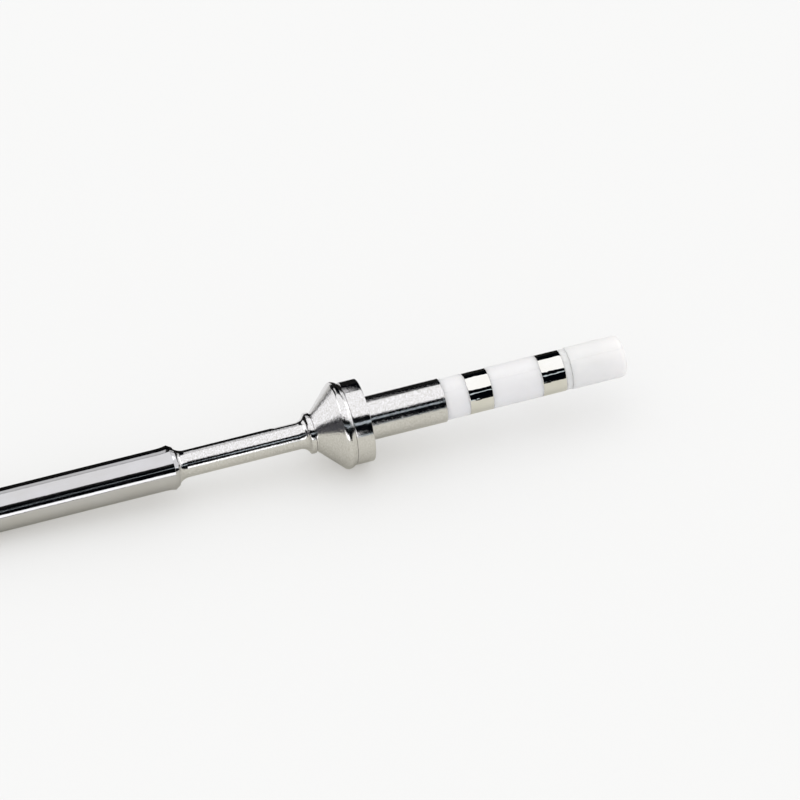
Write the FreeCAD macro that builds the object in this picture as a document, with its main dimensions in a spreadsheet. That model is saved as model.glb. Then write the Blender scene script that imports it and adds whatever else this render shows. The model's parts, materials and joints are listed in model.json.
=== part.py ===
import FreeCAD, Part
import Sketcher
import math
import os

# Cartridge soldering iron tip: a plated bit with its heater inside, a thin steel neck, a cone
# flange with a stop collar, and a steel shank that ends in two contact rings between white
# insulators. Every piece is turned, drawn or moulded round one axis, so each one is a profile
# spun about that axis. While the pieces are made, the axis is X, X = 0 is the back face of the
# stop collar, where the tip seats on its handle, and +X points to the plug end.

SIZES = [
    ("shank_radius", 2.75, "outside of the steel shank"),
    ("shank_length", 10.0, "shank that shows behind the stop collar"),
    ("shank_wall", 0.55, "wall of the shank tube"),
    ("shank_step", 0.2, "how much thinner the shank is inside the collar"),
    ("shank_seat", 1.8, "shank inside the cone flange"),
    ("plug_radius", 2.59, "outside of the contact rings and insulators"),
    ("front_insulator_length", 3.0, "white ring next to the shank"),
    ("contact_length", 3.0, "each contact ring"),
    ("middle_insulator_length", 6.4, "white ring between the contacts"),
    ("washer_length", 0.85, "thin white ring behind the rear contact"),
    ("washer_radius", 2.52, "outside of the thin white ring"),
    ("cap_length", 7.05, "white end cap"),
    ("cap_radius", 2.63, "outside of the end cap"),
    ("cap_round", 0.8, "rounded end of the cap"),
    ("cap_socket_gap", 0.3, "from the stem's tail to the end of its hole in the cap"),
    ("edge_break", 0.06, "broken edge on contact rings, cap and shank"),
    ("stem_radius", 1.85, "insulator stem that the rings are threaded on"),
    ("stem_bore", 1.15, "radius of the hole through the stem"),
    ("stem_plug_length", 6.0, "stem plug inside the shank"),
    ("stem_tail_length", 4.0, "stem inside the cap"),
    ("stem_seat_depth", 0.6, "seat in the stem for the lead insulator"),
    ("window_fit", 0.11, "radial clearance round a weld, where its lead leaves the stem"),
    ("collar_radius", 5.2, "outside of the stop collar"),
    ("collar_length", 2.25, "stop collar"),
    ("collar_edge", 0.12, "broken edges of the stop collar"),
    ("crest_height", 0.3, "how far the rim of the cone flange stands above the collar"),
    ("crest_land", 0.5, "straight band on the rim"),
    ("crest_back_length", 0.65, "bevel behind the rim"),
    ("crest_back_drop", 0.08, "how far the foot of that bevel lies below the collar"),
    ("cone_length", 3.1, "cone of the flange"),
    ("waist_radius", 2.54, "short straight part in front of the cone"),
    ("waist_length", 0.46, "length of that straight part"),
    ("neck_radius", 1.68, "outside of the thin neck"),
    ("neck_bore", 1.35, "radius of the hole through the neck"),
    ("neck_length", 14.8, "straight part of the neck"),
    ("neck_tail_radius", 1.8, "end of the neck inside the cone flange"),
    ("neck_rim_radius", 2.58, "rim of the neck's rear flare"),
    ("neck_rim_length", 0.28, "straight band on that rim"),
    ("neck_rim_edge", 0.08, "bevelled edges of that rim"),
    ("rear_flare_length", 1.27, "hollow curve from the neck to that rim"),
    ("front_flare_length", 1.33, "hollow curve from the neck to the barrel"),
    ("spigot_radius", 2.3, "front end of the neck inside the barrel"),
    ("spigot_length", 2.5, "length of that end"),
    ("barrel_radius", 2.65, "outside of the barrel"),
    ("barrel_length", 31.5, "barrel from its rear face to the cone of the bit"),
    ("barrel_rim_radius", 2.79, "flared rear end of the barrel"),
    ("barrel_rim_length", 1.2, "hollow curve up to that end"),
    ("barrel_rim_edge", 0.2, "bevel on the barrel's rear end"),
    ("nose_length", 15.6, "cone of the bit"),
    ("nose_end_radius", 0.5, "small end of the cone"),
    ("nose_end_round", 0.42, "rounding of the point"),
    ("heater_bore", 1.78, "radius of the heater's hole in the bit"),
    ("solid_front", 2.0, "from the end of that hole to the cone of the bit"),
    ("slip_fit", 0.03, "clearance of pieces that slide together"),
    ("end_plug_length", 1.2, "ceramic plug behind the heater"),
    ("sleeve_wall", 0.45, "ceramic sleeve round the heater"),
    ("sleeve_gap", 0.4, "from the end of the bore to the sleeve"),
    ("core_radius", 0.68, "ceramic core of the heater"),
    ("core_gap", 2.4, "from the end plug to the core"),
    ("bead_gap", 0.55, "from the end of the bore to the thermocouple bead"),
    ("strip_width", 0.9, "resistance strip of the heater coil"),
    ("strip_thickness", 0.14, "thickness of that strip"),
    ("coil_pitch", 3.6, "about the distance from one turn of the coil to the next"),
    ("coil_weld_radius", 0.3, "weld of the coil to the side lead"),
    ("coil_weld_length", 0.6, "length of that weld"),
    ("lead_radius", 0.2, "both leads"),
    ("lead_fit", 0.05, "radial clearance round a lead"),
    ("lead_bend", 0.45, "bend of each lead, along its middle line"),
    ("lead_insulator_radius", 1.3, "twin-bore tube through the neck"),
    ("weld_radius", 0.34, "weld of a lead to its ring"),
    ("weld_length", 0.3, "length of that weld"),
]


class Length:
    """A length in millimetres together with the sheet formula that gives it."""

    def __init__(self, number, formula):
        self.number = float(number)
        self.formula = formula

    def __add__(self, other):
        other = as_length(other)
        return Length(self.number + other.number, f"({self.formula} + {other.formula})")

    def __sub__(self, other):
        other = as_length(other)
        return Length(self.number - other.number, f"({self.formula} - {other.formula})")

    def __mul__(self, other):
        other = as_length(other)
        return Length(self.number * other.number, f"({self.formula} * {other.formula})")

    def __truediv__(self, other):
        other = as_length(other)
        return Length(self.number / other.number, f"({self.formula} / {other.formula})")

    def __neg__(self):
        return Length(-self.number, f"(0 - {self.formula})")


def as_length(value):
    if isinstance(value, Length):
        return value
    return Length(value, repr(value))


def root(value):
    return Length(math.sqrt(value.number), f"sqrt({value.formula})")


def whole(value):
    return Length(round(value.number), f"round({value.formula})")


def make_sheet(doc):
    """Writes the driving dimensions to the sheet and returns each one as a Length."""
    sheet = doc.addObject("Spreadsheet::Sheet", "Sizes")
    sheet.set("A1", "Size in mm")
    sheet.set("C1", "What it is")
    found = {}
    for row, (alias, number, note) in enumerate(SIZES, start=2):
        sheet.set(f"A{row}", alias)
        sheet.set(f"B{row}", str(number))
        sheet.setAlias(f"B{row}", alias)
        sheet.set(f"C{row}", note)
        found[alias] = Length(number, f"Sizes.{alias}")
    doc.recompute()
    return found


doc = FreeCAD.newDocument("SolderingTip")
size = make_sheet(doc)


def origin_plane(body, role):
    return next(f for f in body.Origin.OriginFeatures if f.Role == role)


def new_sketch(body, name, role, offset=None):
    """A sketch on one of the body's own origin planes, moved out from it by offset."""
    sketch = body.newObject("Sketcher::SketchObject", name)
    sketch.AttachmentSupport = [(origin_plane(body, role), "")]
    sketch.MapMode = "FlatFace"
    if offset is not None:
        sketch.AttachmentOffset = FreeCAD.Placement(
            FreeCAD.Vector(0, 0, offset.number), FreeCAD.Rotation()
        )
        sketch.setExpression("AttachmentOffset.Base.z", offset.formula)
    return sketch


def bind(sketch, constraint, name, value):
    """Adds one dimension to the sketch and ties it to the sheet."""
    index = sketch.addConstraint(constraint)
    sketch.renameConstraint(index, name)
    sketch.setExpression(f"Constraints.{name}", value.formula)


def arc_between(start, end, radius, side):
    """Arc of that radius from start to end, with its centre on the left (+1) or right (-1)."""
    chord = end - start
    middle = (start + end) * 0.5
    normal = FreeCAD.Vector(-chord.y, chord.x, 0).normalize()
    reach = math.sqrt(radius**2 - (chord.Length / 2) ** 2)
    centre = middle + normal * (reach * side)
    first, last = (start, end) if side > 0 else (end, start)
    a = math.atan2(first.y - centre.y, first.x - centre.x)
    b = math.atan2(last.y - centre.y, last.x - centre.x)
    circle = Part.Circle(centre, FreeCAD.Vector(0, 0, 1), radius)
    return Part.ArcOfCircle(circle, a, b if b > a else b + 2 * math.pi)


def draw_path(sketch, corners, arcs=None, closed=True):
    """Draws lines through the corners, each a pair of Lengths, with every corner dimensioned.

    arcs maps the number of a corner to the (radius, side) of the arc that starts there.
    """
    arcs = arcs or {}
    corners = [(as_length(x), as_length(y)) for x, y in corners]
    points = [FreeCAD.Vector(x.number, y.number, 0) for x, y in corners]
    pieces = len(points) if closed else len(points) - 1
    starts, ends = [], []
    for i in range(pieces):
        a, b = points[i], points[(i + 1) % len(points)]
        if i in arcs:
            radius, side = arcs[i]
            sketch.addGeometry(arc_between(a, b, radius.number, side), False)
            bind(sketch, Sketcher.Constraint("Radius", i, radius.number), f"arc_{i}", radius)
            starts.append((i, 1 if side > 0 else 2))
            ends.append((i, 2 if side > 0 else 1))
        else:
            sketch.addGeometry(Part.LineSegment(a, b), False)
            starts.append((i, 1))
            ends.append((i, 2))
    for i in range(pieces if closed else pieces - 1):
        following = starts[(i + 1) % pieces]
        sketch.addConstraint(Sketcher.Constraint("Coincident", *ends[i], *following))
    fixed = starts if closed else starts + ends[-1:]
    for i, ((x, y), place) in enumerate(zip(corners, fixed)):
        bind(sketch, Sketcher.Constraint("DistanceX", *place, x.number), f"along_{i}", x)
        bind(sketch, Sketcher.Constraint("DistanceY", *place, y.number), f"across_{i}", y)


def draw_circle(sketch, number, x, y, radius):
    """Draws a dimensioned circle, the sketch's piece of that number."""
    x, y = as_length(x), as_length(y)
    centre = FreeCAD.Vector(x.number, y.number, 0)
    circle = Part.Circle(centre, FreeCAD.Vector(0, 0, 1), radius.number)
    sketch.addGeometry(circle, False)
    bind(sketch, Sketcher.Constraint("DistanceX", number, 3, x.number), f"along_{number}", x)
    bind(sketch, Sketcher.Constraint("DistanceY", number, 3, y.number), f"across_{number}", y)
    bind(sketch, Sketcher.Constraint("Radius", number, radius.number), f"size_{number}", radius)


def new_body(label):
    body = doc.addObject("PartDesign::Body", label)
    body.Label = label
    return body


def turned(label, corners, arcs=None):
    """A body spun about the axis from an outline of (place along the axis, radius) corners."""
    body = new_body(label)
    sketch = new_sketch(body, f"{label}_outline", "XZ_Plane")
    draw_path(sketch, corners, arcs)
    spin = body.newObject("PartDesign::Revolution", f"{label}_spin")
    spin.Profile = sketch
    spin.ReferenceAxis = (sketch, ["H_Axis"])
    spin.Angle = 360
    doc.recompute()
    return body


def tube(label, front, back, bore, radius):
    """A plain turned ring or tube."""
    return turned(label, [(front, bore), (front, radius), (back, radius), (back, bore)])


def circles_at(body, places):
    """Names of the body's circular edges at these (place along the axis, radius) pairs."""
    close = 1e-4
    names = []
    for x, radius in places:
        for number, edge in enumerate(body.Tip.Shape.Edges, start=1):
            curve = edge.Curve
            if (
                isinstance(curve, Part.Circle)
                and abs(curve.Center.x - as_length(x).number) < close
                and abs(curve.Radius - as_length(radius).number) < close
            ):
                names.append(f"Edge{number}")
    return names


def dress(body, kind, places, amount):
    """Rounds (Fillet) or bevels (Chamfer) the circular edges at these places."""
    base = body.Tip
    names = circles_at(body, places)
    if len(names) != len(places):
        raise RuntimeError(f"{body.Label}: {len(names)} edges found for {len(places)} places")
    feature = body.newObject(f"PartDesign::{kind}", f"{body.Label}_{kind.lower()}_{len(body.Group)}")
    feature.Base = (base, names)
    key = "Radius" if kind == "Fillet" else "Size"
    setattr(feature, key, amount.number)
    feature.setExpression(key, amount.formula)
    doc.recompute()


# Places along the axis, from the stop collar forwards

collar_front = -size["collar_length"]
crest_back = collar_front - size["crest_back_length"]
crest_front = crest_back - size["crest_land"]
cone_front = crest_front - size["cone_length"]
flange_front = cone_front - size["waist_length"]
neck_rim_front = flange_front - size["neck_rim_length"]
neck_back = neck_rim_front - size["rear_flare_length"]
neck_front = neck_back - size["neck_length"]
barrel_back = neck_front - size["front_flare_length"]
spigot_front = barrel_back - size["spigot_length"]
barrel_front = barrel_back - size["barrel_length"]
point = barrel_front - size["nose_length"]
shank_front = collar_front - size["shank_seat"]
bore_end = barrel_front + size["solid_front"]
sleeve_front = bore_end + size["sleeve_gap"]
end_plug_front = spigot_front - size["end_plug_length"]

# Places along the axis, from the stop collar backwards

shank_back = size["shank_length"]
front_contact_start = shank_back + size["front_insulator_length"]
front_contact_end = front_contact_start + size["contact_length"]
rear_contact_start = front_contact_end + size["middle_insulator_length"]
rear_contact_end = rear_contact_start + size["contact_length"]
cap_start = rear_contact_end + size["washer_length"]
cap_end = cap_start + size["cap_length"]
stem_front = shank_back - size["stem_plug_length"]
stem_back = cap_start + size["stem_tail_length"]
lead_insulator_back = stem_front + size["stem_seat_depth"]
front_window = (front_contact_start + front_contact_end) / 2
rear_window = (rear_contact_start + rear_contact_end) / 2

# Radii that follow from others

crest_radius = size["collar_radius"] + size["crest_height"]
crest_back_radius = size["collar_radius"] - size["crest_back_drop"]
shank_bore = size["shank_radius"] - size["shank_wall"]
shank_seat_radius = size["shank_radius"] - size["shank_step"]
sleeve_radius = size["heater_bore"] - size["slip_fit"]
strip_inside = size["core_radius"] + size["slip_fit"]
strip_outside = strip_inside + size["strip_thickness"]
coil_radius = (strip_inside + strip_outside) / 2
lead_hole = size["lead_radius"] + size["lead_fit"]
drill_point = size["heater_bore"] / 2
weld_top = root(
    size["stem_radius"] * size["stem_radius"] - size["weld_radius"] * size["weld_radius"]
)
weld_foot = weld_top - size["weld_length"]
window_radius = size["weld_radius"] + size["window_fit"]

# Places along the heater

core_front = bore_end + size["bead_gap"] + strip_outside
core_back = end_plug_front - size["core_gap"]
coil_front = core_front + size["slip_fit"]
coil_weld_front = core_back + size["slip_fit"]
side_lead_front = coil_weld_front + size["coil_weld_length"]


def hollow_curve(length, height):
    """Radius of an arc that leaves a straight line and climbs by height over length."""
    return (length * length + height * height) / (height * 2)


def make_bit():
    """Plated copper bit: point, barrel with a flared rear end, and the blind heater bore."""
    rim = barrel_back - size["barrel_rim_edge"]
    rim_curve_front = rim - size["barrel_rim_length"]
    face_radius = size["barrel_rim_radius"] - size["barrel_rim_edge"]
    rise = size["barrel_rim_radius"] - size["barrel_radius"]
    corners = [
        (point, 0),
        (point, size["nose_end_radius"]),
        (barrel_front, size["barrel_radius"]),
        (rim_curve_front, size["barrel_radius"]),
        (rim, size["barrel_rim_radius"]),
        (barrel_back, face_radius),
        (barrel_back, size["spigot_radius"]),
        (spigot_front, size["spigot_radius"]),
        (spigot_front, size["heater_bore"]),
        (bore_end, size["heater_bore"]),
        (bore_end - drill_point, 0),
    ]
    arcs = {3: (hollow_curve(size["barrel_rim_length"], rise), 1)}
    body = turned("soldering_bit", corners, arcs)
    dress(body, "Fillet", [(point, size["nose_end_radius"])], size["nose_end_round"])
    return body


def make_neck_sleeve():
    """Steel neck, flared at both ends, with an end inside the barrel and one in the flange."""
    front_rise = size["spigot_radius"] - size["neck_radius"]
    rear_rise = size["neck_rim_radius"] - size["neck_radius"]
    corners = [
        (spigot_front, size["neck_bore"]),
        (spigot_front, size["spigot_radius"]),
        (barrel_back, size["spigot_radius"]),
        (neck_front, size["neck_radius"]),
        (neck_back, size["neck_radius"]),
        (neck_rim_front, size["neck_rim_radius"]),
        (flange_front, size["neck_rim_radius"]),
        (flange_front, size["neck_tail_radius"]),
        (shank_front, size["neck_tail_radius"]),
        (shank_front, size["neck_bore"]),
    ]
    arcs = {
        2: (hollow_curve(size["front_flare_length"], front_rise), 1),
        4: (hollow_curve(size["rear_flare_length"], rear_rise), 1),
    }
    body = turned("neck_sleeve", corners, arcs)
    rim_edges = [
        (neck_rim_front, size["neck_rim_radius"]),
        (flange_front, size["neck_rim_radius"]),
    ]
    dress(body, "Chamfer", rim_edges, size["neck_rim_edge"])
    return body


def make_cone_flange():
    """Cone with a raised rim, bored for the neck in front and for the shank behind."""
    corners = [
        (flange_front, size["neck_tail_radius"]),
        (flange_front, size["waist_radius"]),
        (cone_front, size["waist_radius"]),
        (crest_front, crest_radius),
        (crest_back, crest_radius),
        (collar_front, crest_back_radius),
        (collar_front, shank_seat_radius),
        (shank_front, shank_seat_radius),
        (shank_front, size["neck_tail_radius"]),
    ]
    return turned("cone_flange", corners)


def make_stop_collar():
    """Ring on the shank, with a bevel in its bore that the shank's shoulder seats in."""
    corners = [
        (collar_front, shank_seat_radius),
        (collar_front, size["collar_radius"]),
        (0, size["collar_radius"]),
        (0, size["shank_radius"]),
        (-size["shank_step"], shank_seat_radius),
    ]
    body = turned("stop_collar", corners)
    edges = [(collar_front, size["collar_radius"]), (0, size["collar_radius"])]
    dress(body, "Chamfer", edges, size["collar_edge"])
    return body


def make_shank_tube():
    """Steel tube, turned thinner where it runs through the collar into the flange."""
    corners = [
        (shank_front, shank_bore),
        (shank_front, shank_seat_radius),
        (-size["shank_step"], shank_seat_radius),
        (0, size["shank_radius"]),
        (shank_back, size["shank_radius"]),
        (shank_back, shank_bore),
    ]
    body = turned("shank_tube", corners)
    dress(body, "Chamfer", [(shank_back, size["shank_radius"])], size["edge_break"])
    return body


def make_contact_ring(label, front, back):
    """Plated ring on the stem, with its edges broken."""
    body = tube(label, front, back, size["stem_radius"], size["plug_radius"])
    edges = [(front, size["plug_radius"]), (back, size["plug_radius"])]
    dress(body, "Chamfer", edges, size["edge_break"])
    return body


def make_end_cap():
    """Moulded cap with a blind hole that takes the stem's tail."""
    socket_end = stem_back + size["cap_socket_gap"]
    corners = [
        (cap_start, size["stem_radius"]),
        (cap_start, size["cap_radius"]),
        (cap_end, size["cap_radius"]),
        (cap_end, 0),
        (socket_end, 0),
        (socket_end, size["stem_radius"]),
    ]
    body = turned("end_cap", corners)
    dress(body, "Fillet", [(cap_end, size["cap_radius"])], size["cap_round"])
    dress(body, "Chamfer", [(cap_start, size["cap_radius"])], size["edge_break"])
    return body


def cut_window(body, place, upwards):
    """Drills one side of the stem, from its bore outwards, at this place."""
    name = f"{body.Label}_window_{'up' if upwards else 'down'}"
    sketch = new_sketch(body, f"{name}_circle", "XY_Plane")
    draw_circle(sketch, 0, place, 0, window_radius)
    before = body.Tip.Shape.Volume
    pocket = body.newObject("PartDesign::Pocket", name)
    pocket.Profile = sketch
    pocket.Length = (size["stem_radius"] * 2).number
    pocket.setExpression("Length", (size["stem_radius"] * 2).formula)
    pocket.Reversed = upwards
    doc.recompute()
    if body.Tip.Shape.Volume >= before:
        raise RuntimeError(f"{name} cuts nothing")


def make_insulator_stem():
    """White tube that plugs into the shank and carries the rings, with a hole to each contact."""
    seat_radius = size["lead_insulator_radius"] + size["slip_fit"]
    corners = [
        (stem_front, seat_radius),
        (stem_front, shank_bore),
        (shank_back, shank_bore),
        (shank_back, size["stem_radius"]),
        (stem_back, size["stem_radius"]),
        (stem_back, size["stem_bore"]),
        (lead_insulator_back, size["stem_bore"]),
        (lead_insulator_back, seat_radius),
    ]
    body = turned("insulator_stem", corners)
    cut_window(body, rear_window, upwards=True)
    cut_window(body, front_window, upwards=False)
    return body


def make_drilled_rod(label, front, back, radius):
    """Ceramic rod with a hole for the centre lead and, below it, one for the side lead."""
    body = new_body(label)
    sketch = new_sketch(body, f"{label}_section", "YZ_Plane", front)
    draw_circle(sketch, 0, 0, 0, radius)
    draw_circle(sketch, 1, 0, 0, lead_hole)
    draw_circle(sketch, 2, 0, -coil_radius, lead_hole)
    pad = body.newObject("PartDesign::Pad", f"{label}_pad")
    pad.Profile = sketch
    pad.Length = (back - front).number
    pad.setExpression("Length", (back - front).formula)
    doc.recompute()
    return body


def make_heater_coil():
    """Resistance strip wound on the core in whole open turns, from the bead to the coil weld."""
    body = new_body("heater_coil")
    height = core_back - coil_front - size["strip_width"]
    turns = whole(height / size["coil_pitch"])
    strip_end = coil_front + size["strip_width"]
    corners = [
        (coil_front, -strip_outside),
        (strip_end, -strip_outside),
        (strip_end, -strip_inside),
        (coil_front, -strip_inside),
    ]
    sketch = new_sketch(body, "heater_coil_strip", "XZ_Plane")
    draw_path(sketch, corners)
    helix = body.newObject("PartDesign::AdditiveHelix", "heater_coil_helix")
    helix.Profile = sketch
    helix.ReferenceAxis = (sketch, ["H_Axis"])
    helix.Mode = "height-turns-angle"
    helix.Height = height.number
    helix.Turns = turns.number
    helix.setExpression("Height", height.formula)
    helix.setExpression("Turns", turns.formula)
    doc.recompute()
    return body


def make_bead():
    """Dome of weld metal on the front end of the core, which the coil's first turn meets."""
    corners = [(core_front, 0), (core_front - strip_outside, 0), (core_front, strip_outside)]
    return turned("thermocouple_bead", corners, {1: (strip_outside, -1)})


def make_lead(label, front, height, turn, reach):
    """Round wire that runs back at one height, then bends out to the weld of its ring."""
    way = 1 if reach.number > 0 else -1
    bend = size["lead_bend"]
    corners = [
        (front, height),
        (turn - bend, height),
        (turn, height + bend * way),
        (turn, reach),
    ]
    body = new_body(label)
    path = new_sketch(body, f"{label}_path", "XZ_Plane")
    draw_path(path, corners, {1: (bend, way)}, closed=False)
    section = new_sketch(body, f"{label}_section", "YZ_Plane", front)
    draw_circle(section, 0, 0, height, size["lead_radius"])
    doc.recompute()
    pipe = body.newObject("PartDesign::AdditivePipe", f"{label}_pipe")
    pipe.Profile = section
    pipe.Spine = (path, ["Edge1", "Edge2", "Edge3"])
    doc.recompute()
    return body


def make_ring_weld(label, place, upwards):
    """Weld between the end of a lead and the inside of its contact ring."""
    body = new_body(label)
    sketch = new_sketch(body, f"{label}_circle", "XY_Plane", weld_foot if upwards else -weld_top)
    draw_circle(sketch, 0, place, 0, size["weld_radius"])
    pad = body.newObject("PartDesign::Pad", f"{label}_pad")
    pad.Profile = sketch
    pad.Length = size["weld_length"].number
    pad.setExpression("Length", size["weld_length"].formula)
    doc.recompute()
    return body


def make_coil_weld():
    """Weld behind the core, between the coil's last turn and the side lead."""
    body = new_body("coil_weld")
    sketch = new_sketch(body, "coil_weld_section", "YZ_Plane", coil_weld_front)
    draw_circle(sketch, 0, 0, -coil_radius, size["coil_weld_radius"])
    pad = body.newObject("PartDesign::Pad", "coil_weld_pad")
    pad.Profile = sketch
    pad.Length = size["coil_weld_length"].number
    pad.setExpression("Length", size["coil_weld_length"].formula)
    doc.recompute()
    return body


bodies = [
    make_bit(),
    make_neck_sleeve(),
    make_cone_flange(),
    make_stop_collar(),
    make_shank_tube(),
    make_insulator_stem(),
    tube("front_insulator", shank_back, front_contact_start,
         size["stem_radius"], size["plug_radius"]),
    make_contact_ring("front_contact_ring", front_contact_start, front_contact_end),
    tube("middle_insulator", front_contact_end, rear_contact_start,
         size["stem_radius"], size["plug_radius"]),
    make_contact_ring("rear_contact_ring", rear_contact_start, rear_contact_end),
    tube("rear_washer", rear_contact_end, cap_start, size["stem_radius"], size["washer_radius"]),
    make_end_cap(),
    tube("heater_sleeve", sleeve_front, end_plug_front,
         sleeve_radius - size["sleeve_wall"], sleeve_radius),
    tube("heater_core", core_front, core_back, lead_hole, size["core_radius"]),
    make_heater_coil(),
    make_bead(),
    make_drilled_rod("heater_end_plug", end_plug_front, spigot_front, sleeve_radius),
    make_drilled_rod("lead_insulator", spigot_front, lead_insulator_back,
                     size["lead_insulator_radius"]),
    make_coil_weld(),
    make_lead("centre_lead", core_front, as_length(0), rear_window, weld_foot),
    make_lead("side_lead", side_lead_front, -coil_radius, front_window, -weld_foot),
    make_ring_weld("rear_ring_weld", rear_window, upwards=True),
    make_ring_weld("front_ring_weld", front_window, upwards=False),
]


def rest_placement():
    """Lays the tip down as it rests: on the flange's rim and on the front edge of the barrel.

    The origin is on the floor, under the middle of the tip's length.
    """
    rim_drop = crest_radius - size["barrel_radius"]
    tilt = math.atan2(rim_drop.number, (crest_front - barrel_front).number)
    height = crest_radius.number * math.cos(tilt) - crest_front.number * math.sin(tilt)
    cap_flat = size["cap_radius"].number - size["cap_round"].number
    cap_turn = cap_end.number - size["cap_round"].number
    back = cap_turn * math.cos(tilt) + cap_flat * math.sin(tilt) + size["cap_round"].number
    front = point.number * math.cos(tilt)
    turn = FreeCAD.Rotation(FreeCAD.Vector(0, 1, 0), -math.degrees(tilt))
    return FreeCAD.Placement(FreeCAD.Vector(-(front + back) / 2, 0, height), turn)


def check_document():
    """Stops if any object failed, or if a body isn't one valid solid."""
    for item in doc.Objects:
        if "Invalid" in item.State or "Error" in item.State:
            raise RuntimeError(f"{item.Label} failed: {item.State}")
    for body in bodies:
        shape = body.Shape
        if shape.isNull() or not shape.isValid() or len(shape.Solids) != 1:
            raise RuntimeError(f"{body.Label} isn't one valid solid")


laid_down = rest_placement()
for body in bodies:
    body.Placement = laid_down
doc.recompute()
check_document()
os.makedirs("parts", exist_ok=True)
for body in bodies:
    body.Shape.exportStep(f"parts/{body.Label}.step")
print(f"{len(bodies)} pieces, laid down at {laid_down}")
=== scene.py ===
"""A cartridge soldering iron tip on a pale studio floor.

Each outer piece is spun anew round the tip's own axis, in the place that the packed model gives
it, with its edges rounded and its hollow curves made smooth. The pieces inside keep their packed
shape and get a finish. Sizes are in metres.
"""

import json
import math
from typing import NamedTuple

import bmesh
import bpy
from bpy.props import FloatProperty, FloatVectorProperty, IntProperty, PointerProperty
from bpy.types import Operator, Panel, PropertyGroup
from mathutils import Matrix, Vector


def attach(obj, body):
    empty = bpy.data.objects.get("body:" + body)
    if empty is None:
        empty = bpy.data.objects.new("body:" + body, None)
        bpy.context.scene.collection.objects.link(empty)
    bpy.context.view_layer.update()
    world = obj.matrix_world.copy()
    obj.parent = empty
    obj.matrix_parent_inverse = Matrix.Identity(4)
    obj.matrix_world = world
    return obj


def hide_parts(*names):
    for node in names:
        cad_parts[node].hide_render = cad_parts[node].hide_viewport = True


bl_info = {
    "name": "Soldering Iron Tip",
    "version": (1, 0, 0),
    "blender": (4, 5, 0),
    "location": "3D View > Sidebar > Iron Tip",
    "description": "Turns the visible pieces of a soldering iron tip and sets up a plain studio",
    "category": "Add Mesh",
}

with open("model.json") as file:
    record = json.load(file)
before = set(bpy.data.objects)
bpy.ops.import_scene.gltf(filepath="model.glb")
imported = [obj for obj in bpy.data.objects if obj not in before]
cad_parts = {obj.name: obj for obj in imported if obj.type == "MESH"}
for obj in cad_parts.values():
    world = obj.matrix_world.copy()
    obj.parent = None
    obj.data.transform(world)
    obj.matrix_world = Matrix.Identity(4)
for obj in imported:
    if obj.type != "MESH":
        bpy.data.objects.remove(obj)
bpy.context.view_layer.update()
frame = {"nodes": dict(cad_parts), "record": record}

MM = 0.001

# How outlines become meshes.
TURN_FOR_ONE_SEGMENT = math.radians(7)
SHARP_FROM = math.radians(24)
MERGE_DISTANCE = 1e-7
FLARE_SHARE = 0.98  # of the straight line beside a hollow curve, taken up by its rounding
REAR_FLARE_SHARE = 0.9

# Fine edges of the turned pieces, too small to be worth a setting.
RIM_ROUND = 0.1 * MM
TURNED_EDGE = 0.04 * MM
SPIGOT_EDGE = 0.05 * MM
WAIST_ROUND = 0.06 * MM
RECESS_MOUTH = 0.06 * MM
RECESS_FLOOR = 0.04 * MM
RECESS_EDGE = 0.01 * MM

# The dull tin on the nose.
TIN_FADE = 1.1  # the bright plating starts at this many tinned lengths
TIN_ROUGHNESS = 0.3

# The raised line that a mould leaves on the white pieces.
PARTING_TURN = math.radians(64)
PARTING_WIDTH = 0.14  # millimetres, as patterns are
PARTING_HEIGHT = 0.03 * MM

FLOOR_RADIUS = 12.0

# What the camera aims at: a place on the tip's axis, and how far above it.
AIM_ALONG = 4.64 * MM
AIM_ABOVE = 1.277 * MM

BLACK = (0.002, 0.002, 0.002)
WHITE = (1.0, 1.0, 1.0)


def find_axis():
    """The matrix from the tip's own axis to the row frame.

    On its own axis, X runs to the plug end and X = 0 is the back face of the stop collar.
    """
    mounts = {mount["name"]: mount for mount in frame["record"]["mounts"]}
    along = Vector(mounts["shank"]["axis"]).normalized()
    on_axis = Vector(mounts["shank"]["pos_m"])
    seat = Vector(mounts["collar_seat"]["pos_m"])
    origin = on_axis + along * (seat - on_axis).dot(along)
    across = Vector((0, 1, 0))
    turn = Matrix((along, across, along.cross(across))).transposed()
    return Matrix.Translation(origin) @ turn.to_4x4()


AXIS = find_axis()


def measure(node):
    """Front, back, smallest radius and largest radius of a packed node, on the tip's own axis."""
    to_axis = AXIS.inverted()
    points = [to_axis @ vertex.co for vertex in frame["nodes"][node].data.vertices]
    radii = [math.hypot(point.y, point.z) for point in points]
    return min(p.x for p in points), max(p.x for p in points), min(radii), max(radii)


def length(name, description, millimetres):
    """Settings that every length property shares."""
    return {
        "name": name,
        "description": description,
        "default": millimetres * MM,
        "min": 0.0,
        "precision": 5,
        "unit": "LENGTH",
    }


def colour(name, description, tone):
    """Settings that every colour property shares."""
    return {
        "name": name,
        "description": description,
        "default": tone,
        "size": 3,
        "min": 0.0,
        "max": 1.0,
        "subtype": "COLOR",
    }


def brightness(name, description, level):
    """Settings that every brightness property shares."""
    return {"name": name, "description": description, "default": level, "min": 0.0}


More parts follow.
